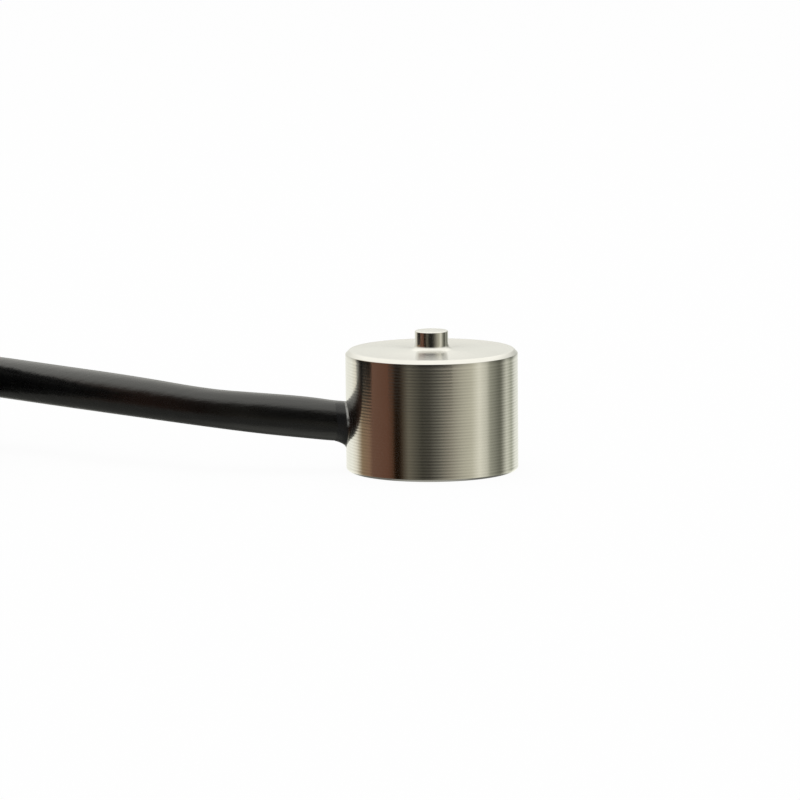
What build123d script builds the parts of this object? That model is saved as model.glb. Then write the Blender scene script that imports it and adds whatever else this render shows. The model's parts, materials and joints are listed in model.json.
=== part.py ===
from build123d import *
import math
import os

# Button load cell with a four core signal cable.
# Millimetres. The origin is the centre of the standing face, +Z runs up the axis of the
# load button, and the cable leaves towards -X.

# Spring body, turned in one piece with its load button
body_d = 12.7
body_h = 8.9
rim_chamfer = 0.28
foot_chamfer = 0.15
button_d = 2.45
button_rise = 1.4
button_fillet = 0.45
button_edge = 0.06

# Gauge chamber inside the body, widening in two steps to the standing rim
diaphragm_t = 1.3
rim_w = 1.15
cover_seat_w = 0.4
board_seat_w = 0.6
hub_d = 1.9
hub_drop = 1.1
chamber_fillet = 0.25

# Base cover, which stays just above the standing face so that the rim carries the load
cover_t = 0.5
cover_recess = 0.15
cover_clearance = 0.02
cover_edge = 0.1

# Strain gauges on the underside of the diaphragm
gauge_count = 4
gauge_first_angle = 45
gauge_room = 0.15
gauge_film_w = 1.6
gauge_film_t = 0.05
gauge_foil_t = 0.03
gauge_foil_edge = 0.32
gauge_lines = 5
gauge_line_w = 0.08
gauge_pitch = 0.2
gauge_tab = 0.36
gauge_tab_y = 0.46

# Terminal board and what is soldered to it
board_t = 0.4
board_clearance = 0.05
board_window_play = 0.2
board_flat_gap = 0.4
pad_t = 0.04
core_pad_w = 0.7
core_pad_gap = 0.5
core_pad_angles = (-100, -50, 50, 100)
gauge_pad_w = 0.45
gauge_pad_inset = 1.1
resistor_angles = (-60, 0, 60)
resistor_l = 1.6
resistor_w = 0.8
resistor_t = 0.45
resistor_cap = 0.3
gauge_wire_d = 0.1
gauge_wire_stub = 0.15

# Signal cable, its four cores and its drain wire
cable_d = 3.0
core_d = 0.7
drain_d = 0.5
core_gap = 0.04
core_stub = 0.5
core_strip = 0.3
core_wire_d = 0.32
core_places = [(1, -1), (1, 1), (-1, 1), (-1, -1)]
solder_h = 0.22
solder_wall = 0.04
solder_edge = 0.05

# Where the cable enters the body
exit_z = 3.45
hole_play = 0.3
sealant_lap = 0.15
sealant_l = 0.8
sealant_root = 0.3
sealant_hollow_r = 1.1
sealant_plug = 1.55
bond_gap = 0.01
ring_gap = 0.01
braid_t = 0.12
braid_l = 0.8
ferrule_t = 0.22
ferrule_l = 0.9
ferrule_set_back = 0.1
ferrule_wall_gap = 0.45
ferrule_seat_gap = 0.04

# Places and sizes inside the body that follow from those above
body_r = body_d / 2
button_z = body_h + button_rise
diaphragm_z = body_h - diaphragm_t
cover_r = body_r - rim_w
cover_seat_z = cover_recess + cover_t
board_bore_r = cover_r - cover_seat_w
gauge_bore_r = board_bore_r - board_seat_w
hub_r = hub_d / 2
gauge_r = (hub_r + gauge_bore_r) / 2
gauge_film_l = gauge_bore_r - hub_r - 2 * (chamber_fillet + gauge_room)
gauge_line_l = gauge_film_l - gauge_tab - 2 * gauge_foil_edge
gauge_tab_x = -(gauge_line_l + gauge_tab) / 2
cable_r = cable_d / 2
hole_r = cable_r + hole_play
braid_r = cable_r + ring_gap + braid_t
ferrule_r = braid_r + ring_gap + ferrule_t
cable_end_x = -(board_bore_r - ferrule_wall_gap - ferrule_l - ferrule_set_back)
board_seat_z = exit_z + ferrule_r + ferrule_seat_gap
board_z = board_seat_z - board_t
board_flat_x = cable_end_x + board_flat_gap
board_r = board_bore_r - board_clearance
board_window_r = hub_r + board_window_play
core_pad_r = board_window_r + core_pad_gap
gauge_pad_r = gauge_bore_r - gauge_pad_inset
resistor_r = (board_window_r + board_r) / 2
core_offset = (core_d / 2 + drain_d / 2 + core_gap) / math.sqrt(2)

# Share of the shorter run that a bend takes up at each of its ends
bend_share = 0.45

# Free run of the cable from its stripped end in the chamber to the hank
cable_route = [
    (cable_end_x, 0, exit_z),
    (-7.4, 0.25, exit_z + 0.1),
    (-11.8, 1.35, 4.05),
    (-16.6, 2.9, 4.25),
    (-22.4, 6.1, 4.7),
    (-28.8, 10.3, 5.05),
    (-35.8, 15.1, 5.4),
    (-43.2, 18.3, 4.5),
    (-49.8, 18.95, 4.5),
]

# Hank that the rest of the cable is folded into
hank_x = -77.5
hank_y = 7.0
hank_columns = 2
hank_layers = 4
fold_r = 9.0
fold_spacing = 59.0
hank_edge = 1.2
hank_skin = 0.1
eye_tip = 0.6

# Tie round the waist of the hank
tie_w = 2.6
tie_t = 0.7
tie_play = 0.1
tie_head_l = 3.4
tie_head_w = 4.0
tie_head_t = 2.4
tie_head_edge = 0.4
tie_head_z = 6.3

# Free end of the cable, which lies on the hank, as offsets from the middle of the hank's top
tail_route = [
    (-17.5, -4.5, -0.5),
    (-10.5, -4.2, 1.2),
    (-2.7, -4.5, 2.3),
    (4.9, -4.6, 2.3),
    (11.5, -5.8, 2.1),
]
sleeve_t = 0.3
sleeve_l = 7.0
sleeve_overlap = 3.0
sleeve_play = 0.05
lead_gap = 0.5
lead_lift = 0.03
lead_angles = (-112, -91, -70, -52)
lead_fan = (-1, -2, 2, 1)
tip_l = 3.5

# Places and sizes of the hank that follow from those above
fold_outer_r = fold_r + (hank_columns - 0.5) * cable_d
waist_half = hank_columns * cable_d
end_x = fold_spacing / 2
waist_r = (end_x**2 + waist_half**2 - fold_outer_r**2) / (2 * (fold_outer_r - waist_half))
hank_h = hank_layers * cable_d
tie_lift = tie_t + tie_play


def rod(radius, length):
    """A round bar that stands on the XY plane."""
    return Cylinder(radius, length, align=(Align.CENTER, Align.CENTER, Align.MIN))


def ring(outer_r, inner_r, length):
    """A ring or bush that stands on the XY plane."""
    return extrude(Circle(outer_r) - Circle(inner_r), amount=length)


def block(x, y, z):
    """A block centred in X and Y that stands on the XY plane."""
    return Box(x, y, z, align=(Align.CENTER, Align.CENTER, Align.MIN))


def bend_radii(points):
    """The bend at each inner point, from its shorter run and half of its turn."""
    radii = []
    for a, b, c in zip(points, points[1:], points[2:]):
        before = Vector(*b) - Vector(*a)
        after = Vector(*c) - Vector(*b)
        half_turn = math.radians(before.get_angle(after)) / 2
        radii.append(bend_share * min(before.length, after.length) / math.tan(half_turn))
    return radii


def tube(points, diameter):
    """A round tube along straight runs joined by tangent arcs."""
    path = FilletPolyline(*points, radius=bend_radii(points))
    section = Plane(origin=points[0], z_dir=Vector(*points[1]) - Vector(*points[0])) * Circle(diameter / 2)
    return sweep(section, path=path)


def make_spring_body():
    """The body: a heavy outer ring, a thin diaphragm with its hub, and the load button on top."""
    r_top = button_d / 2
    with BuildPart() as body:
        with BuildSketch(Plane.XZ):
            with BuildLine():
                Polyline(
                    (cover_r + cover_clearance, 0),
                    (body_r - foot_chamfer, 0),
                    (body_r, foot_chamfer),
                    (body_r, body_h - rim_chamfer),
                    (body_r - rim_chamfer, body_h),
                    (r_top + button_fillet, body_h),
                )
                RadiusArc((r_top + button_fillet, body_h), (r_top, body_h + button_fillet), -button_fillet)
                Polyline(
                    (r_top, body_h + button_fillet),
                    (r_top, button_z - button_edge),
                    (r_top - button_edge, button_z),
                    (0, button_z),
                    (0, diaphragm_z - hub_drop),
                    (hub_r, diaphragm_z - hub_drop),
                    (hub_r, diaphragm_z - chamber_fillet),
                )
                RadiusArc(
                    (hub_r, diaphragm_z - chamber_fillet),
                    (hub_r + chamber_fillet, diaphragm_z),
                    chamber_fillet,
                )
                Line((hub_r + chamber_fillet, diaphragm_z), (gauge_bore_r - chamber_fillet, diaphragm_z))
                RadiusArc(
                    (gauge_bore_r - chamber_fillet, diaphragm_z),
                    (gauge_bore_r, diaphragm_z - chamber_fillet),
                    chamber_fillet,
                )
                Polyline(
                    (gauge_bore_r, diaphragm_z - chamber_fillet),
                    (gauge_bore_r, board_seat_z),
                    (board_bore_r, board_seat_z),
                    (board_bore_r, cover_seat_z),
                    (cover_r + cover_clearance, cover_seat_z),
                    (cover_r + cover_clearance, 0),
                )
            make_face()
        revolve(axis=Axis.Z)
    drill = Plane(origin=(0, 0, exit_z), z_dir=(-1, 0, 0)) * rod(hole_r, body_d)
    return body.part - drill


def make_base_cover():
    """The disc that closes the chamber, with its edge broken on the outside."""
    disc = rod(cover_r, cover_t)
    disc = chamfer(disc.edges().sort_by(Axis.Z)[0], cover_edge)
    return Pos(0, 0, cover_recess) * disc


def gauge_place(index):
    """Where a gauge sits: its own X runs outwards, and its Z is at the diaphragm's underside."""
    return Rot(0, 0, gauge_first_angle + index * 360 / gauge_count) * Pos(gauge_r, 0, diaphragm_z)


def gauge_tab_places():
    """The middle of each solder tab of a gauge, at the end nearer to the hub."""
    return [(gauge_tab_x, -gauge_tab_y), (gauge_tab_x, gauge_tab_y)]


def make_gauge_film(index):
    return gauge_place(index) * Pos(0, 0, -gauge_film_t) * block(gauge_film_l, gauge_film_w, gauge_film_t)


def make_gauge_foil(index):
    """The measuring grid: parallel lines joined end to end, with a solder tab at each end."""
    first_y = -(gauge_lines - 1) / 2 * gauge_pitch
    grid = Sketch()
    for line in range(gauge_lines):
        grid += Pos(0, first_y + line * gauge_pitch) * Rectangle(gauge_line_l, gauge_line_w)
    for turn in range(gauge_lines - 1):
        side = 1 if turn % 2 == 0 else -1
        x = side * (gauge_line_l / 2 - gauge_line_w / 2)
        y = first_y + (turn + 0.5) * gauge_pitch
        grid += Pos(x, y) * Rectangle(gauge_line_w, gauge_pitch + gauge_line_w)
    for x, y in gauge_tab_places():
        grid += Pos(x, y) * Rectangle(gauge_tab, gauge_tab)
    foil = extrude(grid, amount=gauge_foil_t)
    return gauge_place(index) * Pos(0, 0, -gauge_film_t - gauge_foil_t) * foil


def make_terminal_board():
    """A round board with a window under the hub and a flat where the cable comes in."""
    board = ring(board_r, board_window_r, board_t)
    past_flat = Pos(board_flat_x - board_r, 0, 0) * block(2 * board_r, 2 * board_r, board_t)
    return Pos(0, 0, board_z) * (board - past_flat)


def core_pad_places():
    """Where the four cores are soldered under the board, at angles from the cable's side."""
    angles = [math.radians(angle) for angle in core_pad_angles]
    return [(-core_pad_r * math.cos(angle), core_pad_r * math.sin(angle)) for angle in angles]


def gauge_pad_place(index, y):
    """A pad on top of the board, outside of one tab of a gauge."""
    turn = Rot(0, 0, gauge_first_angle + index * 360 / gauge_count)
    return turn * Pos(gauge_pad_r, y, board_seat_z)


def gauge_pads():
    return [(index, y) for index in range(gauge_count) for _, y in gauge_tab_places()]


def make_board_pads():
    pads = [Pos(x, y, board_z - pad_t) * block(core_pad_w, core_pad_w, pad_t) for x, y in core_pad_places()]
    pads += [gauge_pad_place(index, y) * block(gauge_pad_w, gauge_pad_w, pad_t) for index, y in gauge_pads()]
    return Compound(children=pads)


def make_resistor(angle):
    """A chip resistor under the board, across the radius: a block between two metal end caps."""
    body = block(resistor_w, resistor_l - 2 * resistor_cap, resistor_t)
    caps = [
        Pos(0, side * (resistor_l - resistor_cap) / 2, 0) * block(resistor_w, resistor_cap, resistor_t)
        for side in (-1, 1)
    ]
    place = Rot(0, 0, angle) * Pos(resistor_r, 0, board_z - resistor_t)
    return Compound(children=[place * piece for piece in [body, *caps]])


def make_core_solder():
    """A cone of solder round each core's bare end, under the board."""
    drops = []
    for x, y in core_pad_places():
        drop = Pos(x, y, board_z - pad_t - solder_h) * Cone(
            core_wire_d / 2 + solder_wall,
            core_pad_w / 2 - solder_edge,
            solder_h,
            align=(Align.CENTER, Align.CENTER, Align.MIN),
        )
        wire = Pos(x, y, board_z - pad_t - solder_h) * rod(core_wire_d / 2, solder_h)
        drops.append(drop - wire)
    return Compound(children=drops)


def gauge_wire_points(index, y):
    """A gauge wire drops from its tab, slants away from the hub and drops to its pad."""
    top = gauge_place(index) * Pos(gauge_tab_x, y, -gauge_film_t - gauge_foil_t)
    foot = gauge_pad_place(index, y) * Pos(0, 0, pad_t)
    places = [top, top * Pos(0, 0, -gauge_wire_stub), foot * Pos(0, 0, gauge_wire_stub), foot]
    return [tuple(place.position) for place in places]


def make_gauge_wires():
    return Compound(children=[tube(gauge_wire_points(index, y), gauge_wire_d) for index, y in gauge_pads()])


def make_core(index):
    """An insulated core from the stripped end of the cable to its pad, with its bare wire end."""
    pad_x, pad_y = core_pad_places()[index]
    across, up = core_places[index]
    place = Vector(across, up, 0) * core_offset
    start = entry_plane(0).from_local_coords(place)
    stub = entry_plane(-core_stub).from_local_coords(place)
    top_z = board_z - pad_t - solder_h - core_strip
    points = [tuple(start), tuple(stub), (pad_x, pad_y, stub.Z), (pad_x, pad_y, top_z)]
    insulation = tube(points, core_d)
    wire = Pos(pad_x, pad_y, top_z) * rod(core_wire_d / 2, solder_h + core_strip)
    return insulation + wire


def entry_plane(distance):
    """A plane across the cable at a distance from its stripped end, facing outwards."""
    along = (Vector(*cable_route[1]) - Vector(*cable_route[0])).normalized()
    origin = Vector(*cable_route[0]) + along * distance
    return Plane(origin=origin, x_dir=Vector(0, 0, 1).cross(along), z_dir=along)


def make_shield_braid():
    """The cable's braid, folded back over the jacket under the ferrule."""
    return entry_plane(ferrule_set_back) * ring(braid_r, braid_r - braid_t, braid_l)


def make_crimp_ferrule():
    """The crimped ring that keeps the cable from being pulled out."""
    return entry_plane(ferrule_set_back) * ring(ferrule_r, ferrule_r - ferrule_t, ferrule_l)


def make_exit_sealant(cable):
    """Potting round the cable: a plug in the hole and a concave collar on the body's wall."""
    face = Plane(origin=(0, 0, exit_z), z_dir=(-1, 0, 0))
    plug = face * Pos(0, 0, body_r - sealant_plug) * rod(hole_r - bond_gap, sealant_plug)
    foot_r = hole_r + sealant_lap
    root = body_r - sealant_root
    tip = body_r + sealant_l
    with BuildPart() as collar:
        with BuildSketch(Plane.XZ):
            with BuildLine():
                Polyline((0, tip), (0, root), (foot_r, root))
                RadiusArc((foot_r, root), (cable_r - bond_gap, tip), sealant_hollow_r)
                Line((cable_r - bond_gap, tip), (0, tip))
            make_face()
        revolve(axis=Axis.Z)
    wall = rod(body_r + bond_gap, body_h)
    return plug + (face * collar.part - wall) - cable


def make_cable_lead():
    return tube(cable_route, cable_d)


def on_hank(point):
    """A point given from the middle of the hank's top."""
    return (hank_x + point[0], hank_y + point[1], hank_h + point[2])


def end_tangent(r_end):
    """Where a round end of the hank meets its hollow side, for an end of this radius."""
    span = fold_outer_r + waist_r
    return end_x - r_end * end_x / span, r_end * (waist_half + waist_r) / span


def bow_face(inset):
    """A face with two round ends joined by hollow sides: the plan of the hank, inset all round."""
    r_end = fold_outer_r - inset
    half = waist_half - inset
    x, y = end_tangent(r_end)
    edges = [
        ThreePointArc((x, -y), (end_x + r_end, 0), (x, y)),
        ThreePointArc((x, y), (0, half), (-x, y)),
        ThreePointArc((-x, y), (-end_x - r_end, 0), (-x, -y)),
        ThreePointArc((-x, -y), (0, -half), (x, -y)),
    ]
    return make_face(edges)


def eye_face():
    """The open eye at one end of the hank, inside its innermost turn."""
    r_end = fold_outer_r - waist_half
    r_side = waist_r + waist_half
    x, y = end_tangent(r_end)
    tip_x = math.sqrt(r_side**2 - (r_side - eye_tip) ** 2)
    middle_x = (tip_x + x) / 2
    middle_y = r_side - math.sqrt(r_side**2 - middle_x**2)
    edges = [
        Line((tip_x, -eye_tip), (tip_x, eye_tip)),
        ThreePointArc((tip_x, eye_tip), (middle_x, middle_y), (x, y)),
        ThreePointArc((x, y), (end_x + r_end, 0), (x, -y)),
        ThreePointArc((x, -y), (middle_x, -middle_y), (tip_x, -eye_tip)),
    ]
    return make_face(edges)


def make_cable_hank(lead, tail, tie):
    """The folded cable as one solid of its outer shape, with the eye at each end."""
    blob = extrude(bow_face(hank_skin), amount=hank_h - hank_skin)
    rims = blob.edges().group_by(Axis.Z)
    blob = fillet(rims[0] + rims[-1], hank_edge)
    eye = extrude(eye_face(), amount=hank_h)
    blob = blob - eye - mirror(eye, about=Plane.YZ)
    return Pos(hank_x, hank_y, hank_skin) * blob - lead - tail - tie


def make_cable_tail():
    return tube([on_hank(point) for point in tail_route], cable_d)


def make_hank_tie():
    """A flat strap round the waist of the hank and the cable end, with its head at the back."""
    low = tie_lift + cable_r
    side = waist_half - cable_r
    middle = tail_route[2]
    r_in = cable_r + tie_play
    centres = [
        (-side, low),
        (side, low),
        (side, tie_lift + hank_h - cable_r),
        (middle[1], hank_h + middle[2] + tie_play),
    ]

    def hull(radius):
        return make_hull([(Pos(x, y) * Circle(radius)).edge() for x, y in centres])

    strap = extrude(hull(r_in + tie_t) - hull(r_in), amount=tie_w / 2, both=True)
    head = Pos(side + r_in + tie_t + tie_head_t / 2, tie_head_z, 0) * Box(tie_head_t, tie_head_w, tie_head_l)
    head = fillet(head.edges().filter_by(Axis.Z), tie_head_edge)
    upright = Plane(origin=(hank_x, hank_y, 0), x_dir=(0, 1, 0), z_dir=(1, 0, 0))
    return upright * (strap + head)


def tail_end_plane(distance):
    """A plane across the cable's free end, at a distance past the jacket's end."""
    last = Vector(*on_hank(tail_route[-1]))
    along = (last - Vector(*on_hank(tail_route[-2]))).normalized()
    return Plane(origin=last + along * distance, x_dir=Vector(0, 0, 1).cross(along), z_dir=along)


def make_end_sleeve():
    """The shrunk sleeve over the end of the jacket, narrower past it."""
    inner = cable_r + ring_gap
    sleeve = tail_end_plane(-sleeve_overlap) * ring(inner + sleeve_t, inner, sleeve_overlap)
    mouth_r = math.hypot(core_offset, core_offset) + core_d / 2
    nose = tail_end_plane(0) * ring(inner + sleeve_t, mouth_r + sleeve_play, sleeve_l - sleeve_overlap)
    return sleeve + nose


def lead_points(across, up, fan, radius):
    """The line of a wire that starts there in the jacket's end and fans out on the hank's end."""
    place = Vector(across, up, 0) * core_offset
    start = tail_end_plane(0).from_local_coords(place)
    mouth = tail_end_plane(sleeve_l - sleeve_overlap).from_local_coords(place)
    out_r = fold_outer_r - waist_half / 2 + fan * (core_d + lead_gap)
    points = [tuple(start), tuple(mouth)]
    for angle in lead_angles:
        turn = math.radians(angle)
        points.append(on_hank((end_x + out_r * math.cos(turn), out_r * math.sin(turn), radius + lead_lift)))
    return points


def core_lead_points(index):
    return lead_points(*core_places[index], lead_fan[index], core_d / 2)


def make_drain_wire():
    """The bare drain wire, from the middle of the cable to the middle of the fan."""
    return tube(lead_points(0, 0, 0, drain_d / 2), drain_d)


def make_lead_tips():
    """The tinned wire end that comes out of each lead."""
    tips = []
    for index in range(len(core_places)):
        before, last = (Vector(*p) for p in core_lead_points(index)[-2:])
        tips.append(Plane(origin=last, z_dir=last - before) * rod(core_wire_d / 2, tip_l))
    return Compound(children=tips)


def main():
    os.makedirs("parts", exist_ok=True)
    for name, route in (("cable lead", cable_route), ("cable tail", tail_route)):
        print(name, "bend radii", [round(r, 1) for r in bend_radii(route)])
    lead = make_cable_lead()
    tail = make_cable_tail()
    tie = make_hank_tie()
    print("cable lead volume over section", round(lead.volume / (math.pi * cable_r**2), 2))
    parts = {
        "spring_body": make_spring_body(),
        "base_cover": make_base_cover(),
        "terminal_board": make_terminal_board(),
        "board_pads": make_board_pads(),
        "core_solder": make_core_solder(),
        "gauge_wires": make_gauge_wires(),
        "shield_braid": make_shield_braid(),
        "crimp_ferrule": make_crimp_ferrule(),
        "exit_sealant": make_exit_sealant(lead),
        "cable_lead": lead,
        "cable_hank": make_cable_hank(lead, tail, tie),
        "hank_tie": tie,
        "cable_tail": tail,
        "end_sleeve": make_end_sleeve(),
        "lead_tips": make_lead_tips(),
        "drain_wire": make_drain_wire(),
    }
    for index in range(gauge_count):
        parts[f"gauge_film_{index + 1}"] = make_gauge_film(index)
        parts[f"gauge_foil_{index + 1}"] = make_gauge_foil(index)
    for angle, name in zip(resistor_angles, ("zero_resistor", "span_resistor", "balance_resistor")):
        parts[name] = make_resistor(angle)
    for index, colour in enumerate(("red", "black", "green", "white")):
        parts[f"core_{colour}"] = make_core(index)
        parts[f"lead_{colour}"] = tube(core_lead_points(index), core_d)
    for name, part in parts.items():
        export_step(part, f"parts/{name}.step")


main()
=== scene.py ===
"""The look of the button load cell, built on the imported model, in metres and in its frame."""

import json
import math

import bpy
from mathutils import Matrix, Vector


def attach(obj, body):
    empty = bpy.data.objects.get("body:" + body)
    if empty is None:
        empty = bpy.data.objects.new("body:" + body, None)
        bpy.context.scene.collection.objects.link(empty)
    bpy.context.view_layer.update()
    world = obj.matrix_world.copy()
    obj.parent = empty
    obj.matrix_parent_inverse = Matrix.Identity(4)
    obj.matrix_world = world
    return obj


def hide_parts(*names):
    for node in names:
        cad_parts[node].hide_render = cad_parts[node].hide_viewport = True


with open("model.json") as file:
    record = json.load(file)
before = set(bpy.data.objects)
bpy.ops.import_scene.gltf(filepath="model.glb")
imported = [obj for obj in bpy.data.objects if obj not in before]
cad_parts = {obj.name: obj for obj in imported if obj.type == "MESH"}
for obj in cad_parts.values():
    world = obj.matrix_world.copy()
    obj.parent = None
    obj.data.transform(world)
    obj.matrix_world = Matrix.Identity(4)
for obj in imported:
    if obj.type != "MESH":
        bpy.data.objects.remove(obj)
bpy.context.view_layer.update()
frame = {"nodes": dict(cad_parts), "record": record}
mounts = {mount["name"]: mount for mount in frame["record"]["mounts"]}
mm = 0.001

# Spring body. Its radius and the top of its button are those of the frame's mounts. The button's fillet
# lies between an arc, where fillet_flat is 0, and a straight slope, where it is 1. The lathe's feed leaves
# round grooves feed_pitch apart, and fine_marks is how many finer lines lie in a metre.
body_r = mounts["locating_od"]["dims"]["r_mm"] * mm
button_top = mounts["load_button_face"]["pos_m"][2]
button_rise = 1.4 * mm
body_h = button_top - button_rise
rim_chamfer = 0.28 * mm
foot_chamfer = 0.15 * mm
button_r = 1.225 * mm
button_fillet = 0.45 * mm
fillet_flat = 0.25
button_edge = 0.06 * mm
fillet_steps = 12
corner_r = 0.035 * mm
sharp_angle = 25
feed_pitch = 0.227 * mm
feed_depth = 0.003 * mm
feed_steps = 6
turn_steps = 384
fine_marks = 24 / mm

# Chamber inside the body
cover_bore_r = 5.22 * mm
cover_seat_z = 0.65 * mm
board_bore_r = 4.8 * mm
board_seat_z = 5.35 * mm
gauge_bore_r = 4.2 * mm
diaphragm_z = 7.6 * mm
hub_r = 0.95 * mm
hub_z = 6.5 * mm

# Cable
cable_d = 3.0 * mm
exit_z = 3.45 * mm
sealant_r = 1.95 * mm
sealant_l = 0.8 * mm

# The potting's collar: its neck meets the cable just under its surface, its middle follows the cable,
# and its foot sinks a little into the steel
collar_around, collar_along = 96, 30
collar_neck = cable_d / 2 * 0.995
collar_rise = 0.19 * mm
collar_shift = 0.02 * mm
collar_sink = 0.02 * mm
collar_shrink = 0.2 * mm
collar_sag = 0.17 * mm
collar_drip = 0.08 * mm

# The cable's route from its stripped end to the hank, in millimetres. As far as -28.8 it follows the
# photograph, where the cable starts straighter than the CAD route does.
cable_route = [
    (-3.35, 0, 3.45),
    (-6.6, 0.03, 3.55),
    (-9.2, 0.05, 3.9),
    (-12.6, 0.25, 4.2),
    (-16.6, 1.3, 4.48),
    (-22.4, 4.6, 4.95),
    (-28.8, 9.6, 5.15),
    (-35.8, 15.1, 5.4),
    (-43.2, 18.45, 4.5),
    (-49.8, 19.35, 4.5),
]
# The jacket's radius at the first of these points, as shares of its nominal one
route_swell = [1.0, 0.985, 1.04, 1.015, 0.94, 1.02, 1.03, 1.035]

# The cable's free end, from the hank to the sleeve, in millimetres
tail_route = [
    (-95.0, 2.5, 11.5),
    (-88.0, 2.8, 13.2),
    (-80.2, 2.5, 14.3),
    (-72.6, 2.4, 14.3),
    (-66.0, 1.2, 14.1),
]

# Hank, in millimetres: two round ends, and sides that curve in until the inner turns touch at the waist
hank_x, hank_y = -77.5, 7.0
end_x = 29.5
fold_r = 9.0
turn_pitch = 3.0
fold_outer_r = fold_r + 1.5 * turn_pitch
waist_half = 2 * turn_pitch
waist_r = (end_x**2 + waist_half**2 - fold_outer_r**2) / (2 * (fold_outer_r - waist_half))
turn_points = 72
first_turn, last_turn = 0.045, 7.52

# The lanes of the turns, as column (0 inner, 1 outer) and layer. The cable changes to the next one at
# change_place of a turn, a little earlier each time, over change_length of a turn.
lanes = [(1, 1), (1, 0), (0, 0), (0, 1), (0, 2), (1, 2), (1, 3), (0, 3)]
change_place = 0.795
change_drift = 0.018
change_length = 0.08

# The tie passes under the hank, which rises by tie_lift over it
tie_lift = 0.8
tie_reach = 8.0

# Camera
camera_target = Vector((-2.35, 0, 5.14)) * mm
camera_distance = 0.4
camera_elevation = math.radians(8.37)
camera_roll = math.radians(0.48)
camera_lens = 244.2

# Floor and flag
floor_half = 2.0
floor_glow = 0.955
flag_reach = (0.061, 0.13)
flag_from, flag_to = -58, 26
flag_steps = 40
flag_height = 0.5 * mm

# The studio round them. A height here is the sine of a direction's angle above the level. The walls
# get lighter below wall_fade and darker above it, and the ceiling starts lower towards the back.
wall_fade = (-0.21, -0.08)
fade_depth = 0.8
ceiling_fade = (0.42, 0.86)
ceiling_lean = 0.35
table_fade = (-0.3, -0.6)
under_fade = (-0.84, -0.95)
ceiling_colour = (1.27, 1.26, 1.18, 1.0)
table_colour = (0.18, 0.18, 0.165, 1.0)
under_colour = (0.42, 0.42, 0.38, 1.0)
soft_colour = (0.75, 0.75, 0.75, 1.0)
white = (1.0, 1.0, 1.0, 1.0)


def add(tree, kind, inputs=None, **settings):
    """A shader node with its settings, and with values or links on its inputs."""
    node = tree.nodes.new("ShaderNode" + kind)
    for name, value in settings.items():
        setattr(node, name, value)
    for name, value in (inputs or {}).items():
        if isinstance(value, bpy.types.NodeSocket):
            tree.links.new(value, node.inputs[name])
        else:
            node.inputs[name].default_value = value
    return node


def maths(tree, operation, *values):
    """The result of one math node."""
    return add(tree, "Math", dict(enumerate(values)), operation=operation).outputs[0]


def mapped(tree, value, start, end, first=0.0, last=1.0, kind="LINEAR"):
    """A value that runs from first to last while the given one runs from start to end."""
    inputs = {"Value": value, "From Min": start, "From Max": end, "To Min": first, "To Max": last}
    return add(tree, "MapRange", inputs, interpolation_type=kind).outputs["Result"]


def axes(tree, vector):
    """The X, Y and Z of a vector."""
    return add(tree, "SeparateXYZ", {"Vector": vector}).outputs


def from_axis(tree, parts):
    """The distance from the Z axis of a place that is given as X, Y and Z."""
    squares = [maths(tree, "POWER", parts[name], 2.0) for name in ("X", "Y")]
    return maths(tree, "SQRT", maths(tree, "ADD", *squares))


def ramp(tree, value, stops):
    """A colour ramp of (place, colour) stops."""
    node = add(tree, "ValToRGB", {"Fac": value})
    elements = node.color_ramp.elements
    while len(elements) < len(stops):
        elements.new(1.0)
    for element, (place, colour) in zip(elements, stops):
        element.position = place
        element.color = (*colour, 1.0)
    return node.outputs["Color"]


def mixed(tree, share, first, second, blend="MIX"):
    """Two colours mixed, each a value or a link. The node's colours are its sockets 6 and 7."""
    node = add(tree, "Mix", data_type="RGBA", blend_type=blend)
    for place, value in ((0, share), (6, first), (7, second)):
        if isinstance(value, bpy.types.NodeSocket):
            tree.links.new(value, node.inputs[place])
        else:
            node.inputs[place].default_value = value
    return node.outputs[2]


def noise(tree, coordinates, scale, detail=3.0, roughness=0.5):
    """Soft random values from 0 to 1."""
    inputs = {"Vector": coordinates, "Scale": scale, "Detail": detail, "Roughness": roughness}
    return add(tree, "TexNoise", inputs).outputs["Fac"]


def stretched(tree, coordinates, scale):
    """Coordinates scaled by a different factor along each axis."""
    return add(tree, "Mapping", {"Vector": coordinates, "Scale": scale}).outputs["Vector"]


def bump(tree, height, distance, normal=None):
    """A surface direction that follows a height, on top of another one if it is given."""
    inputs = {"Height": height, "Distance": distance}
    if normal is not None:
        inputs["Normal"] = normal
    return add(tree, "Bump", inputs).outputs["Normal"]


def new_material(name):
    """A material with a plain Principled shader: the material, its tree, the shader and coordinates."""
    made = bpy.data.materials.new(name)
    made.use_nodes = True
    tree = made.node_tree
    tree.nodes.clear()
    output = tree.nodes.new("ShaderNodeOutputMaterial")
    shader = tree.nodes.new("ShaderNodeBsdfPrincipled")
    tree.links.new(shader.outputs["BSDF"], output.inputs["Surface"])
    place = add(tree, "TexCoord").outputs["Object"]
    return made, tree, shader, place


def set_inputs(tree, shader, **values):
    """Sets a shader's inputs, whose names are written here with underscores for spaces."""
    for name, value in values.items():
        socket = shader.inputs[name.replace("_", " ")]
        if isinstance(value, bpy.types.NodeSocket):
            tree.links.new(value, socket)
        else:
            socket.default_value = value


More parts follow.
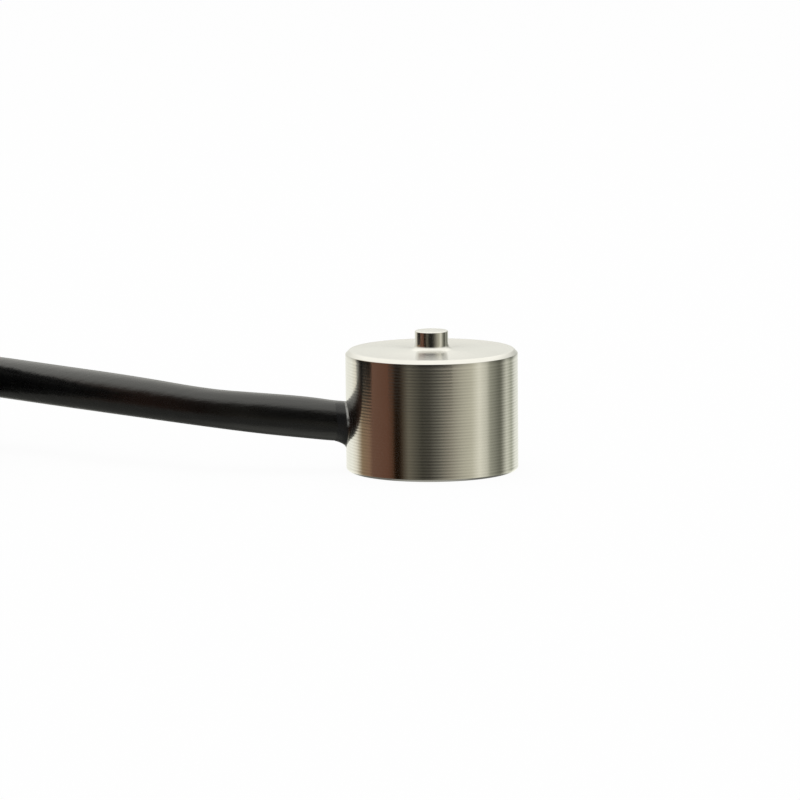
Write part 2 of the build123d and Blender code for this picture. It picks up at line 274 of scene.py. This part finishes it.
def turned_steel(name, tint, roughness, mark_depth):
    """Steel off the lathe, with marks that run round the axis, and rougher on its upper faces."""
    made, tree, shader, place = new_material(name)
    parts = axes(tree, place)
    across = maths(tree, "MULTIPLY", maths(tree, "ADD", from_axis(tree, parts), parts["Z"]), fine_marks)
    angle = maths(tree, "ARCTAN2", parts["Y"], parts["X"])
    lines = add(tree, "CombineXYZ", {"X": across, "Y": angle}).outputs["Vector"]
    fine = noise(tree, lines, 1.0, detail=4.0, roughness=0.7)
    blotches = noise(tree, stretched(tree, place, (300.0, 300.0, 500.0)), 1.0)
    patch = mapped(tree, blotches, 0.0, 1.0, 0.94, 1.03)
    rough = mapped(tree, fine, 0.0, 1.0, roughness * 0.8, roughness * 1.25)
    facing = axes(tree, add(tree, "TexCoord").outputs["Normal"])["Z"]
    faced = mapped(tree, facing, 0.95, 1.0, 1.0, 1.7)
    tangent = add(tree, "Tangent", direction_type="RADIAL", axis="Z").outputs["Tangent"]
    set_inputs(
        tree, shader,
        Base_Color=mixed(tree, 1.0, (*tint, 1.0), patch, "MULTIPLY"),
        Metallic=1.0,
        Roughness=maths(tree, "MULTIPLY", rough, faced),
        Anisotropic=0.85,
        Anisotropic_Rotation=0.25,
        Tangent=tangent,
        Normal=bump(tree, fine, mark_depth),
    )
    return made


def plastic(name, tint, roughness, grain_scale, grain_depth):
    """Moulded or extruded plastic with a fine grain and slightly uneven colour."""
    made, tree, shader, place = new_material(name)
    grain = noise(tree, place, grain_scale, detail=4.0, roughness=0.6)
    cloud = noise(tree, place, grain_scale / 12, detail=2.0)
    low = tuple(0.82 * part for part in tint)
    high = tuple(min(1.0, 1.18 * part) for part in tint)
    set_inputs(
        tree, shader,
        Base_Color=ramp(tree, cloud, [(0.3, low), (0.7, high)]),
        Roughness=mapped(tree, grain, 0.0, 1.0, roughness * 0.85, roughness * 1.15),
        Normal=bump(tree, grain, grain_depth),
    )
    return made


def metal(name, tint, roughness, grain_scale, grain_depth):
    """Plain metal with small dents and uneven brightness."""
    made, tree, shader, place = new_material(name)
    grain = noise(tree, place, grain_scale, detail=4.0)
    low = tuple(0.85 * part for part in tint)
    set_inputs(
        tree, shader,
        Base_Color=ramp(tree, grain, [(0.3, low), (0.7, tint)]),
        Metallic=1.0,
        Roughness=mapped(tree, grain, 0.0, 1.0, roughness * 0.8, roughness * 1.3),
        Normal=bump(tree, grain, grain_depth),
    )
    return made


def stranded(name, tint, pitch, depth):
    """Tinned copper strands, twisted along the wire."""
    made, tree, shader, place = new_material(name)
    wave = add(
        tree, "TexWave", {"Vector": place, "Scale": 1.0 / pitch, "Distortion": 1.5, "Detail": 1.0},
        wave_type="BANDS", bands_direction="DIAGONAL",
    ).outputs["Fac"]
    low = tuple(0.6 * part for part in tint)
    set_inputs(
        tree, shader,
        Base_Color=ramp(tree, wave, [(0.1, low), (0.6, tint)]),
        Metallic=1.0,
        Roughness=0.32,
        Normal=bump(tree, wave, depth),
    )
    return made


def put(obj, made):
    """Gives a mesh or curve one material."""
    if obj.material_slots:
        for slot in obj.material_slots:
            slot.material = made
    else:
        obj.data.materials.append(made)


def mesh_piece(name, vertices, faces, made, sharp=None):
    """A new mesh object with smooth faces, and sharp edges above an angle in degrees."""
    data = bpy.data.meshes.new(name)
    data.from_pydata([tuple(v) for v in vertices], [], faces)
    data.update()
    data.shade_smooth()
    if sharp is not None:
        data.set_sharp_from_angle(angle=math.radians(sharp))
    obj = bpy.data.objects.new(name, data)
    bpy.context.collection.objects.link(obj)
    data.materials.append(made)
    return obj


def rounded(points, radius, steps=3):
    """A profile whose corners are replaced by short arcs of about this radius."""
    out = [points[0]]
    for before, corner, after in zip(points, points[1:], points[2:]):
        before, corner, after = Vector(before), Vector(corner), Vector(after)
        a = (before - corner).normalized()
        b = (after - corner).normalized()
        reach = min(radius, (before - corner).length / 3, (after - corner).length / 3)
        start, end = corner + a * reach, corner + b * reach
        for step in range(steps + 1):
            t = step / steps
            out.append(tuple(start.lerp(corner, t).lerp(corner.lerp(end, t), t)))
    out.append(points[-1])
    return out


def lathe(name, profile, steps, made, sharp):
    """A mesh turned about Z from (radius, height) points. A radius of 0 is one point on the axis."""
    vertices, rings = [], []
    for r, z in profile:
        if r == 0:
            rings.append([len(vertices)] * steps)
            vertices.append((0, 0, z))
        else:
            rings.append(list(range(len(vertices), len(vertices) + steps)))
            for k in range(steps):
                angle = 2 * math.pi * k / steps
                vertices.append((r * math.cos(angle), r * math.sin(angle), z))
    faces = []
    for low, high in zip(rings, rings[1:]):
        for k in range(steps):
            corners = [low[k], low[(k + 1) % steps], high[(k + 1) % steps], high[k]]
            faces.append(list(dict.fromkeys(corners)))
    return mesh_piece(name, vertices, faces, made, sharp)


def feed_marks(radius, low, high):
    """Profile points of the side wall, with a shallow round groove for each turn of the lathe's feed."""
    count = round((high - low) / feed_pitch)
    points = []
    for step in range(1, count * feed_steps):
        t = step / (count * feed_steps)
        groove = step / feed_steps
        swell = 0.75 + 0.25 * math.sin(2.1 * groove) * math.sin(0.63 * groove + 1.0)
        dip = feed_depth * swell * 0.5 * (1 - math.cos(2 * math.pi * groove))
        points.append((radius - dip, low + (high - low) * t))
    return points


def make_body(steel):
    """The spring body with its load button, turned in one piece, and the chamber inside it."""
    arc = []
    for step in range(1, fillet_steps):
        angle = math.radians(90 * step / fillet_steps)
        straight = fillet_flat * step / fillet_steps
        arc.append((
            button_r + button_fillet * ((1 - fillet_flat) * (1 - math.sin(angle)) + fillet_flat - straight),
            body_h + button_fillet * ((1 - fillet_flat) * (1 - math.cos(angle)) + straight),
        ))
    foot = rounded([(cover_bore_r, 0), (body_r - foot_chamfer, 0), (body_r, foot_chamfer),
                    (body_r, 2 * foot_chamfer)], corner_r)
    rim = rounded([(body_r, body_h - 2 * rim_chamfer), (body_r, body_h - rim_chamfer),
                   (body_r - rim_chamfer, body_h), (body_r - 2 * rim_chamfer, body_h)], corner_r)
    top = rounded([(button_r, body_h + button_fillet), (button_r, button_top - button_edge),
                   (button_r - button_edge, button_top), (0, button_top)], corner_r / 2)
    profile = (
        [(0, hub_z), (hub_r, hub_z), (hub_r, diaphragm_z), (gauge_bore_r, diaphragm_z),
         (gauge_bore_r, board_seat_z), (board_bore_r, board_seat_z), (board_bore_r, cover_seat_z),
         (cover_bore_r, cover_seat_z)]
        + foot
        + feed_marks(body_r, foot[-1][1], rim[0][1])
        + rim
        + [(button_r + button_fillet, body_h)]
        + arc
        + top
    )
    profile.reverse()
    body = lathe("body", profile, turn_steps, steel, sharp_angle)
    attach(body, "root")
    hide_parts("spring_body")


def make_sealant(made):
    """The potting's collar: concave, a little uneven, with a point where it ran down the wall."""
    vertices = []
    for k in range(collar_around):
        angle = 2 * math.pi * k / collar_around
        down = max(0.0, -math.sin(angle))
        uneven = 0.025 * math.sin(3 * angle + 0.4) + 0.015 * math.sin(7 * angle + 2.0)
        foot = sealant_r + mm * uneven - collar_shrink
        foot += collar_drip * down**16 - collar_sag * math.sin(angle)
        for j in range(collar_along + 1):
            t = j / collar_along
            r = collar_neck + (foot - collar_neck) * t
            y, z = r * math.cos(angle), r * math.sin(angle)
            height = (sealant_l + mm * uneven) * (1 - t) ** 3 - collar_sink * t
            x = -math.sqrt(body_r**2 - y**2) - height
            vertices.append((x, y + collar_shift * (1 - t), exit_z + z + collar_rise * (1 - t)))
    faces = []
    for k in range(collar_around):
        for j in range(collar_along):
            a = k * (collar_along + 1) + j
            b = ((k + 1) % collar_around) * (collar_along + 1) + j
            faces.append([a, b, b + 1, a + 1])
    collar = mesh_piece("sealant_collar", vertices, faces, made)
    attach(collar, "root")
    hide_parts("exit_sealant")
    return collar


def loop_point(part, column):
    """A point of the hank's loop, in millimetres from its middle. Part runs from 0 to 1 round the loop."""
    span = fold_outer_r + waist_r
    lean = math.asin(end_x / span)
    end_r = fold_r + column * turn_pitch
    side_r = waist_r + (1.5 - column) * turn_pitch
    middle_end, middle_side = fold_r + 0.5 * turn_pitch, waist_r + turn_pitch
    stretches = [
        ("end", lean * middle_end),
        ("rear", 2 * lean * middle_side),
        ("far", (math.pi + 2 * lean) * middle_end),
        ("front", 2 * lean * middle_side),
        ("near", (math.pi + lean) * middle_end),
    ]
    along = (part % 1.0) * sum(length for _, length in stretches)
    for kind, length in stretches:
        if along <= length:
            break
        along -= length
    centre_y = span * math.cos(lean)
    if kind in ("rear", "front"):
        turn = along / middle_side - lean
        x, y = -side_r * math.sin(turn), centre_y - side_r * math.cos(turn)
        return (x, y) if kind == "rear" else (-x, -y)
    if kind == "end":
        angle = math.pi / 2 + along / middle_end
    elif kind == "far":
        angle = math.pi / 2 - lean + along / middle_end
    else:
        angle = -math.pi / 2 - lean + along / middle_end
    centre_x = -end_x if kind == "far" else end_x
    return centre_x + end_r * math.cos(angle), end_r * math.sin(angle)


def lane_at(turns):
    """The column and layer that the cable is in after so many turns."""
    column, layer = lanes[0]
    for n in range(1, len(lanes)):
        middle = (n - 1) + change_place - change_drift * (n - 1)
        step = min(1.0, max(0.0, (turns - middle) / change_length + 0.5))
        share = 0.5 - 0.5 * math.cos(math.pi * step)
        column += (lanes[n][0] - lanes[n - 1][0]) * share
        layer += (lanes[n][1] - lanes[n - 1][1]) * share
    return column, layer


def hank_points(first, last):
    """Points of the cable's turns, moved out by an eighth of the bend so that the spline meets them."""
    count = round((last - first) * turn_points)
    places = []
    for k in range(-1, count + 2):
        turns = first + (last - first) * k / count
        column, layer = lane_at(turns)
        x, y = loop_point(turns, column)
        share = min(1.0, abs(x) / tie_reach)
        lift = tie_lift * (0.5 + 0.5 * math.cos(math.pi * share))
        places.append(Vector((hank_x + x, hank_y + y, turn_pitch * (layer + 0.5) + lift)))
    return [b - (a - 2 * b + c) / 8 for a, b, c in zip(places, places[1:], places[2:])]


def swell(number, x):
    """The jacket's radius at a point, as a share: under 1 in the hank, which lies on the floor."""
    if number < len(route_swell):
        return route_swell[number]
    return 0.984 + 0.008 * math.sin(0.9 * x) + 0.007 * math.sin(0.37 * x + 1.3)


def make_cable(made):
    """The whole cable as one smooth line: its free run, the turns of the hank and its free end."""
    points = [Vector(p) for p in cable_route]
    points += hank_points(first_turn, last_turn)
    points += [Vector(p) for p in tail_route]
    data = bpy.data.curves.new("signal_cable", "CURVE")
    data.dimensions = "3D"
    spline = data.splines.new("NURBS")
    spline.points.add(len(points) - 1)
    for number, (place, point) in enumerate(zip(spline.points, points)):
        place.co = (*(point * mm), 1.0)
        place.radius = swell(number, point.x)
    spline.order_u = 3
    spline.use_endpoint_u = True
    spline.resolution_u = 6
    data.bevel_depth = cable_d / 2
    data.bevel_resolution = 8
    data.use_fill_caps = True
    data.materials.append(made)
    cable = bpy.data.objects.new("signal_cable", data)
    bpy.context.collection.objects.link(cable)
    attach(cable, "root")
    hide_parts("cable_lead", "cable_hank", "cable_tail")
    return cable


def cable_material():
    """The jacket: matt black with faint lengthways drawing marks, small dents and dust."""
    made, tree, shader, place = new_material("jacket_black")
    grain = noise(tree, place, 5200.0)
    drawn = noise(tree, stretched(tree, place, (250.0, 1800.0, 1800.0)), 1.0, detail=4.0)
    dust = noise(tree, place, 900.0, detail=5.0, roughness=0.7)
    set_inputs(
        tree, shader,
        Base_Color=ramp(tree, dust, [(0.35, (0.0014, 0.0014, 0.0015)), (0.75, (0.004, 0.004, 0.0042))]),
        Roughness=mapped(tree, drawn, 0.0, 1.0, 0.22, 0.34),
        Specular_IOR_Level=0.85,
        Normal=bump(tree, grain, 0.004 * mm, normal=bump(tree, drawn, 0.03 * mm)),
    )
    return made


def potting():
    """The black potting, with a painted highlight: a pale crescent on its upper half where it meets the
    steel.
    """
    made, tree, shader, place = new_material("sealant_black")
    grain = noise(tree, place, 1500.0, detail=4.0, roughness=0.6)
    parts = axes(tree, place)
    # Painted highlight: a pale crescent on the collar's upper half next to the steel, broken up by the
    # grain, stands in for the light this edge catches from above.
    edge = mapped(tree, from_axis(tree, parts), body_r + 0.12 * mm, body_r + 0.05 * mm)
    upper = mapped(tree, parts["Z"], exit_z - 0.1 * mm, exit_z + 0.6 * mm)
    broken = mapped(tree, grain, 0.3, 0.5)
    painted_crescent = maths(tree, "MULTIPLY", maths(tree, "MULTIPLY", edge, upper), broken)
    set_inputs(
        tree, shader,
        Base_Color=mixed(tree, painted_crescent, (0.010, 0.010, 0.0105, 1.0), (0.36, 0.36, 0.34, 1.0)),
        Roughness=mapped(tree, grain, 0.0, 1.0, 0.2, 0.3),
        Normal=bump(tree, grain, 0.006 * mm),
    )
    return made


def dress_nodes():
    """Materials for the CAD nodes that stay as they are."""
    tinned = stranded("tinned_strands", (0.70, 0.69, 0.66), 0.4 * mm, 0.02 * mm)
    finishes = {
        "cover_steel": turned_steel("cover_steel", (0.62, 0.62, 0.60), 0.3, 0.003 * mm),
        "tie": plastic("tie_black", (0.03, 0.03, 0.031), 0.42, 3000.0, 0.01 * mm),
        "sleeve": plastic("sleeve_black", (0.035, 0.035, 0.036), 0.38, 2400.0, 0.015 * mm),
        "wire_red": plastic("wire_red", (0.50, 0.02, 0.02), 0.33, 2500.0, 0.004 * mm),
        "wire_black": plastic("wire_black", (0.02, 0.02, 0.02), 0.33, 2500.0, 0.004 * mm),
        "wire_green": plastic("wire_green", (0.02, 0.26, 0.07), 0.33, 2500.0, 0.004 * mm),
        "wire_white": plastic("wire_white", (0.75, 0.75, 0.72), 0.33, 2500.0, 0.004 * mm),
        "tinned_copper": tinned,
        "ferrule_brass": metal("ferrule_brass", (0.70, 0.52, 0.24), 0.3, 2500.0, 0.005 * mm),
        "board": plastic("board_green", (0.02, 0.13, 0.05), 0.35, 4000.0, 0.004 * mm),
        "pad_gold": metal("pad_gold", (0.85, 0.62, 0.26), 0.25, 4000.0, 0.002 * mm),
        "solder": metal("solder", (0.70, 0.71, 0.72), 0.22, 3000.0, 0.006 * mm),
        "resistor": plastic("resistor_black", (0.03, 0.03, 0.033), 0.5, 6000.0, 0.004 * mm),
        "gauge_film": plastic("gauge_amber", (0.55, 0.28, 0.05), 0.2, 2000.0, 0.002 * mm),
        "gauge_foil": metal("gauge_foil", (0.62, 0.55, 0.45), 0.25, 5000.0, 0.001 * mm),
    }
    hidden = {"spring_body", "exit_sealant", "cable_lead", "cable_hank", "cable_tail"}
    for part in frame["record"]["subparts"]:
        if part["node"] not in hidden:
            put(frame["nodes"][part["node"]], finishes[part["material_slot"]])


def make_camera():
    """The photograph's camera: a long lens, slightly above and slightly tilted."""
    data = bpy.data.cameras.new("camera")
    data.type = "PERSP"
    data.sensor_width = 36.0
    data.lens = camera_lens
    data.clip_start = 0.01
    data.clip_end = 10.0
    camera = bpy.data.objects.new("camera", data)
    bpy.context.collection.objects.link(camera)
    back = Vector((0, -math.cos(camera_elevation), math.sin(camera_elevation)))
    turn = back.to_track_quat("Z", "Y").to_matrix().to_4x4()
    roll = Matrix.Rotation(-camera_roll, 4, "Z")
    camera.matrix_world = Matrix.Translation(camera_target + back * camera_distance) @ turn @ roll
    bpy.context.scene.camera = camera


def make_floor():
    """A pale floor that the camera sees nearly white, with only soft contact shadows."""
    made = bpy.data.materials.new("floor_white")
    made.use_nodes = True
    tree = made.node_tree
    tree.nodes.clear()
    output = tree.nodes.new("ShaderNodeOutputMaterial")
    diffuse = add(tree, "BsdfDiffuse", {"Color": (0.82, 0.82, 0.82, 1.0)})
    glow = add(tree, "Emission", {"Color": white, "Strength": 1.0})
    seen = add(tree, "LightPath").outputs["Is Camera Ray"]
    share = maths(tree, "MULTIPLY", seen, floor_glow)
    mix = add(tree, "MixShader", {"Fac": share})
    tree.links.new(diffuse.outputs[0], mix.inputs[1])
    tree.links.new(glow.outputs[0], mix.inputs[2])
    tree.links.new(mix.outputs[0], output.inputs["Surface"])
    corners = [(x * floor_half, y * floor_half, 0) for x, y in ((-1, -1), (1, -1), (1, 1), (-1, 1))]
    floor = mesh_piece("floor", corners, [[0, 1, 2, 3]], made)
    floor.visible_glossy = False


def make_flag():
    """A curved black flag low down in front, which only the button and the marks of the wall reflect."""
    made = bpy.data.materials.new("flag_black")
    made.use_nodes = True
    shader = made.node_tree.nodes["Principled BSDF"]
    shader.inputs["Base Color"].default_value = (0.02, 0.017, 0.012, 1.0)
    shader.inputs["Roughness"].default_value = 1.0
    vertices = []
    for k in range(flag_steps + 1):
        angle = math.radians(flag_from + (flag_to - flag_from) * k / flag_steps)
        for reach in flag_reach:
            vertices.append((reach * math.sin(angle), -reach * math.cos(angle), flag_height))
    faces = [[2 * k, 2 * k + 1, 2 * k + 3, 2 * k + 2] for k in range(flag_steps)]
    flag = mesh_piece("flag", vertices, faces, made)
    flag.visible_camera = False
    flag.visible_diffuse = False
    flag.visible_shadow = False


# What stands round the object in the studio, as stretches of colour that the wall reflects. They were
# typed in from mean colours measured in columns of the photograph's wall, and then changed until
# the render's bands came near the photograph's. Each has its azimuth in degrees from the camera's side to
# the right, its colour, and how it fades from the floor up.
surroundings = [
    (-180, (0.93, 0.93, 0.86), 0.1),
    (-136, (0.98, 0.98, 0.88), 0.3),
    (-123, (0.84, 0.80, 0.68), 0.4),
    (-115, (0.50, 0.44, 0.33), 0.5),
    (-109, (0.28, 0.20, 0.12), 0.35),
    (-94, (0.26, 0.16, 0.10), 0.15),
    (-88, (0.16, 0.085, 0.056), 0.1),
    (-62, (0.135, 0.062, 0.038), 0.0),
    (-55, (0.090, 0.042, 0.022), 0.1),
    (-51, (0.012, 0.005, 0.001), 0.2),
    (-45, (0.012, 0.005, 0.001), 0.2),
    (-41, (0.050, 0.034, 0.020), 0.25),
    (-32, (0.150, 0.135, 0.100), 0.25),
    (-22, (0.095, 0.088, 0.066), 0.4),
    (-14, (0.052, 0.049, 0.037), 0.9),
    (-4, (0.060, 0.056, 0.044), 1.0),
    (8, (0.130, 0.124, 0.100), 1.0),
    (22, (0.270, 0.250, 0.200), 0.6),
    (41, (0.490, 0.470, 0.375), 0.3),
    (54, (0.59, 0.57, 0.455), 0.2),
    (66, (0.85, 0.83, 0.70), 0.1),
    (78, (0.62, 0.61, 0.51), 0.2),
    (84, (0.35, 0.35, 0.28), 0.3),
    (98, (0.195, 0.195, 0.155), 0.5),
    (103, (0.155, 0.155, 0.12), 0.5),
    (107, (0.20, 0.20, 0.16), 0.5),
    (119, (0.66, 0.66, 0.56), 0.4),
    (133, (0.41, 0.42, 0.34), 0.9),
    (146, (0.84, 0.85, 0.76), 0.6),
    (180, (0.93, 0.93, 0.86), 0.1),
]


def make_world():
    """A white studio: the camera sees it white, and reflections see the things that stand round it."""
    world = bpy.data.worlds.new("studio")
    bpy.context.scene.world = world
    world.use_nodes = True
    tree = world.node_tree
    tree.nodes.clear()
    output = tree.nodes.new("ShaderNodeOutputWorld")
    direction = add(tree, "TexCoord").outputs["Generated"]
    parts = axes(tree, direction)
    azimuth = maths(tree, "ARCTAN2", parts["X"], maths(tree, "MULTIPLY", parts["Y"], -1.0))
    place = maths(tree, "MULTIPLY_ADD", azimuth, 0.5 / math.pi, 0.5)
    around = ramp(tree, place, [((a + 180) / 360, colour) for a, colour, _ in surroundings])
    fade = ramp(tree, place, [((a + 180) / 360, (share, share, share)) for a, _, share in surroundings])
    below = mapped(tree, parts["Z"], *wall_fade, fade_depth, -fade_depth)
    shade = maths(tree, "MULTIPLY_ADD", below, fade, 1.0)
    walls = mixed(tree, 1.0, around, shade, "MULTIPLY")
    overhead = maths(tree, "MULTIPLY_ADD", parts["Y"], ceiling_lean, parts["Z"])
    ceiling = mapped(tree, overhead, *ceiling_fade, kind="SMOOTHSTEP")
    table = mapped(tree, parts["Z"], *table_fade, kind="SMOOTHSTEP")
    walls = mixed(tree, table, walls, table_colour)
    under = mapped(tree, parts["Z"], *under_fade, kind="SMOOTHSTEP")
    walls = mixed(tree, under, walls, under_colour)
    room = mixed(tree, ceiling, walls, ceiling_colour)
    path = add(tree, "LightPath").outputs
    soft = mixed(tree, path["Is Glossy Ray"], soft_colour, room)
    direct = maths(tree, "MAXIMUM", path["Is Camera Ray"], path["Is Transmission Ray"])
    final = mixed(tree, direct, soft, white)
    background = add(tree, "Background", {"Color": final, "Strength": 1.0})
    tree.links.new(background.outputs[0], output.inputs["Surface"])


def make_light(name, place, target, size, power):
    """A soft rectangular light that reflections don't show."""
    data = bpy.data.lights.new(name, "AREA")
    data.shape = "RECTANGLE"
    data.size, data.size_y = size
    data.energy = power
    light = bpy.data.objects.new(name, data)
    bpy.context.collection.objects.link(light)
    light.location = place
    light.rotation_euler = (Vector(place) - Vector(target)).to_track_quat("Z", "Y").to_euler()
    light.visible_glossy = False


def make_lights():
    """One large soft light above and behind, and a weak one in front."""
    make_light("softbox_top", (-0.05, 0.12, 0.6), (-0.01, 0, 0), (0.5, 0.3), 1.2)
    make_light("fill_front", (0.1, -0.7, 0.35), (0, 0, 0), (0.5, 0.4), 0.6)


make_camera()
cable = make_cable(cable_material())
sealant = make_sealant(potting())
make_body(turned_steel("body_steel", (0.76, 0.75, 0.72), 0.13, 0.0008 * mm))
dress_nodes()
make_floor()
make_flag()
make_world()
make_lights()
bpy.context.scene.view_settings.view_transform = "Standard"
